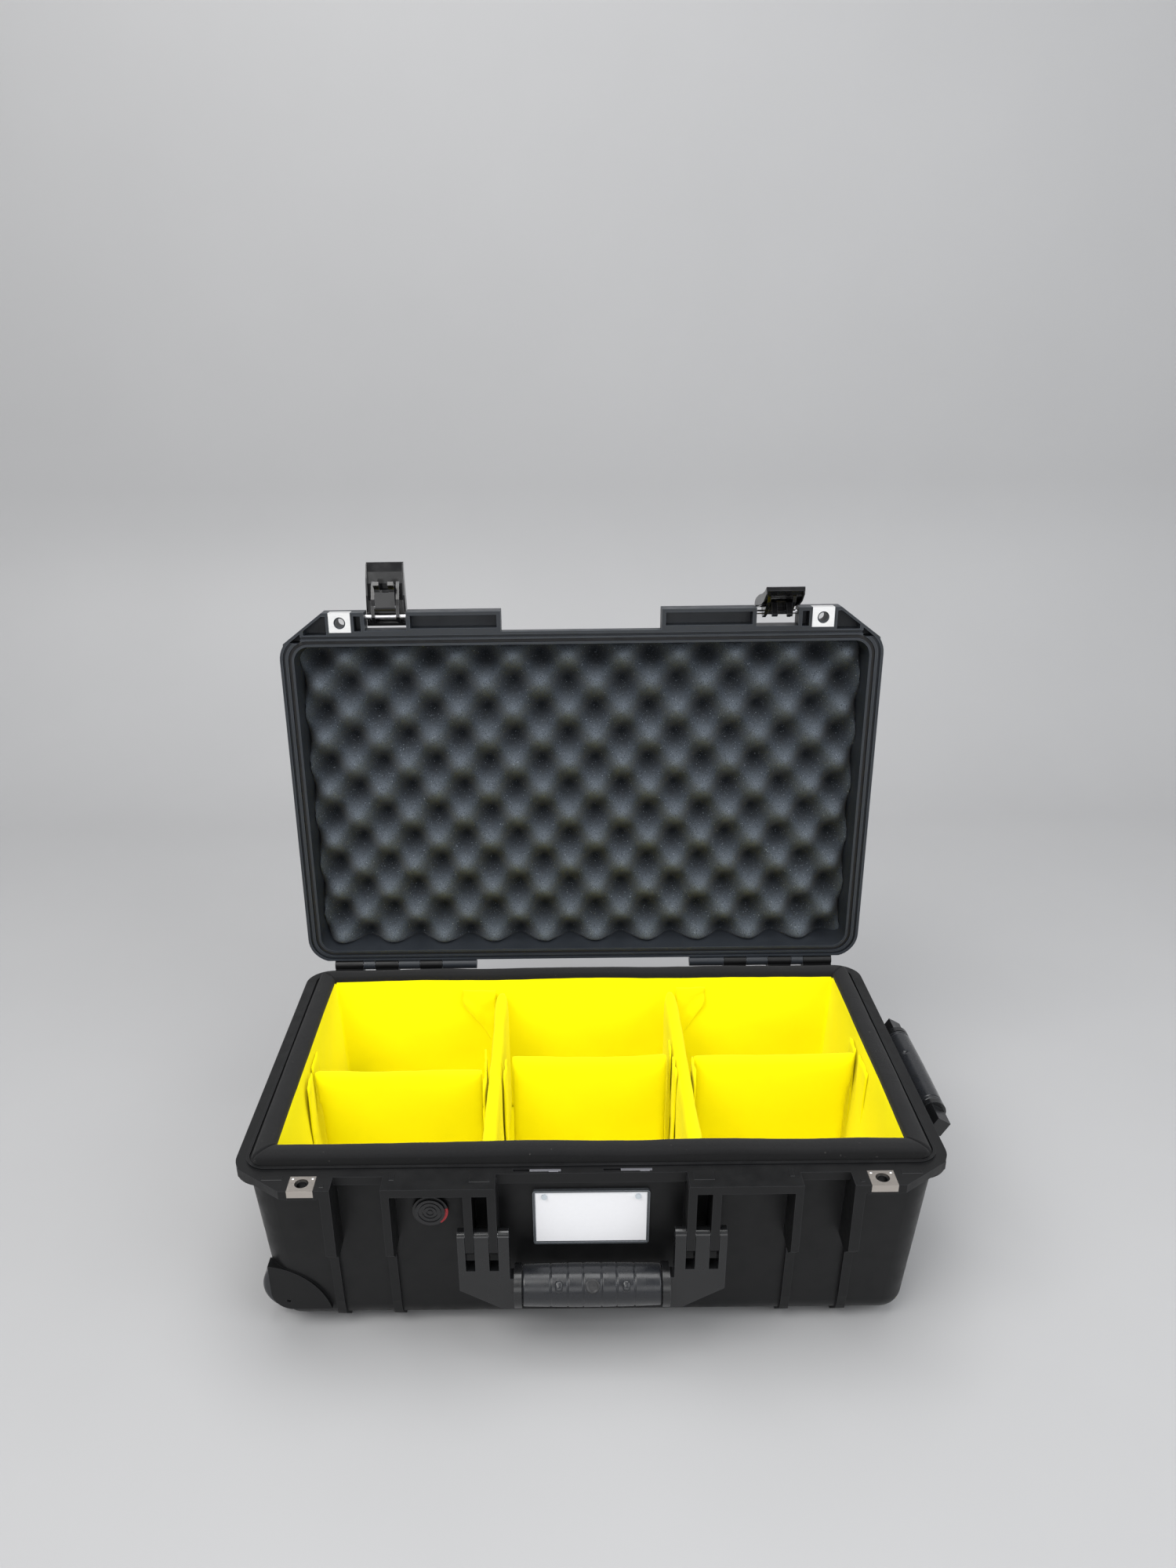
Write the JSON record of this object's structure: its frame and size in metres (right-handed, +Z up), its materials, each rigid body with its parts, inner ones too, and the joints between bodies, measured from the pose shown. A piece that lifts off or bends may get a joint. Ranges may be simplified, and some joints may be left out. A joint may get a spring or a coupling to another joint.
{
  "type": "hard equipment case",
  "caption": "Wheeled hard case with hinged foam-lined lid, two latches, padded dividers, two carry handles and a pull-out trolley handle.",
  "frame": {"origin": "on the floor plane, at the middle of the keel under the base", "axes": "+X to the right along the case's length, -Y to the front where the latches and main handle are, +Z up"},
  "size_m": [0.5715, 0.4267, 0.5587],
  "materials": {
    "case_plastic": "satin moulded plastic",
    "lid_plastic": "satin moulded plastic",
    "fitting_plastic": "fine matt",
    "handle_plastic": "semi-gloss",
    "button_plastic": "satin",
    "latch_plastic": "gloss",
    "wheel_plastic": "satin",
    "wheel_rubber": "matt rubber",
    "grip_rubber": "soft-touch rubber",
    "seal_rubber": "matt rubber",
    "lid_foam": "open-cell foam",
    "padded_fabric": "black fleece-backed padding",
    "yellow_lining": "smooth loop nylon",
    "nickel_plate": "brushed",
    "bright_plate": "brushed",
    "steel_pin": "turned",
    "aluminium_tube": "anodised",
    "red_ring": "satin",
    "clear_holder": "clear moulded",
    "card": "printed card",
    "dark_stud": "gloss"
  },
  "bodies": {
    "base": {"base_shell": "case_plastic", "hinge_pins": "steel_pin", "base_padlock_eyes": "case_plastic", "base_padlock_guards": "nickel_plate", "valve_body": "fitting_plastic", "valve_ring": "red_ring", "valve_nut": "fitting_plastic", "card_holder": "clear_holder", "name_card": "card", "card_holder_rivets": "dark_stud", "front_handle_pins": "steel_pin", "side_handle_pins": "steel_pin", "wheel_axles": "steel_pin", "trolley_outer_tubes": "aluminium_tube", "trolley_collars": "fitting_plastic", "trolley_screws": "steel_pin", "insert_surround": "padded_fabric", "insert_floor": "yellow_lining", "divider_cross_left": "yellow_lining", "divider_cross_right": "yellow_lining", "divider_long_left": "yellow_lining", "divider_long_middle": "yellow_lining", "divider_long_right": "yellow_lining"},
    "lid": {"lid_shell": "lid_plastic", "lid_oring": "seal_rubber", "lid_foam": "lid_foam", "lid_padlock_eyes": "lid_plastic", "lid_padlock_guards": "bright_plate", "left_latch_pin": "steel_pin", "right_latch_pin": "steel_pin"},
    "left_lever": {"left_latch_lever": "latch_plastic", "left_latch_hook_pin": "steel_pin"},
    "left_hook": {"left_latch_hook": "latch_plastic"},
    "right_lever": {"right_latch_lever": "latch_plastic", "right_latch_hook_pin": "steel_pin"},
    "right_hook": {"right_latch_hook": "latch_plastic"},
    "front_handle": {"front_handle_frame": "handle_plastic", "front_handle_grip": "grip_rubber"},
    "side_handle": {"side_handle_frame": "handle_plastic", "side_handle_grip": "grip_rubber"},
    "front_wheel": {"front_wheel_hub": "wheel_plastic", "front_wheel_tyre": "wheel_rubber", "front_wheel_bearings": "steel_pin"},
    "rear_wheel": {"rear_wheel_hub": "wheel_plastic", "rear_wheel_tyre": "wheel_rubber", "rear_wheel_bearings": "steel_pin"},
    "trolley": {"trolley_inner_tubes": "aluminium_tube", "trolley_grip": "handle_plastic", "trolley_grip_screws": "steel_pin"},
    "trolley_button": {"trolley_button": "button_plastic"}
  },
  "joints": [
    {"name": "lid_hinge", "type": "hinge", "parent": "base", "child": "lid", "pos_m": [0, 0.167, 0.172], "axis": [-1, 0, 0], "range_deg": [-92.8, 0]},
    {"name": "left_lever_hinge", "type": "hinge", "parent": "lid", "child": "left_lever", "pos_m": [-0.17525, 0.1897, 0.5133], "axis": [-1, 0, 0], "range_deg": [-90, 20]},
    {"name": "left_hook_hinge", "type": "hinge", "parent": "left_lever", "child": "left_hook", "pos_m": [-0.17525, 0.19109, 0.52124], "axis": [-1, 0, 0], "range_deg": [-35, 10]},
    {"name": "right_lever_hinge", "type": "hinge", "parent": "lid", "child": "right_lever", "pos_m": [0.17525, 0.1897, 0.5133], "axis": [-1, 0, 0], "range_deg": [-15, 95]},
    {"name": "right_hook_hinge", "type": "hinge", "parent": "right_lever", "child": "right_hook", "pos_m": [0.17525, 0.18239, 0.5167], "axis": [-1, 0, 0], "range_deg": [-35, 10]},
    {"name": "front_handle_hinge", "type": "hinge", "parent": "base", "child": "front_handle", "pos_m": [0, -0.174, 0.1195], "axis": [-1, 0, 0], "range_deg": [0, 90]},
    {"name": "side_handle_hinge", "type": "hinge", "parent": "base", "child": "side_handle", "pos_m": [0.2685, 0, 0.112], "axis": [0, -1, 0], "range_deg": [-142, 4]},
    {"name": "front_wheel_spin", "type": "hinge", "parent": "base", "child": "front_wheel", "pos_m": [-0.2446, -0.123, 0.0327], "axis": [0, 1, 0], "continuous": true},
    {"name": "rear_wheel_spin", "type": "hinge", "parent": "base", "child": "rear_wheel", "pos_m": [-0.2446, 0.123, 0.0327], "axis": [0, 1, 0], "continuous": true},
    {"name": "trolley_slide", "type": "slide", "parent": "base", "child": "trolley", "axis": [1, 0, 0], "range_m": [0, 0.34]},
    {"name": "trolley_button_press", "type": "slide", "parent": "trolley", "child": "trolley_button", "axis": [-1, 0, 0], "range_m": [0, 0.002], "stiffness_N_per_m": 600, "springref_m": -0.001}
  ]
}
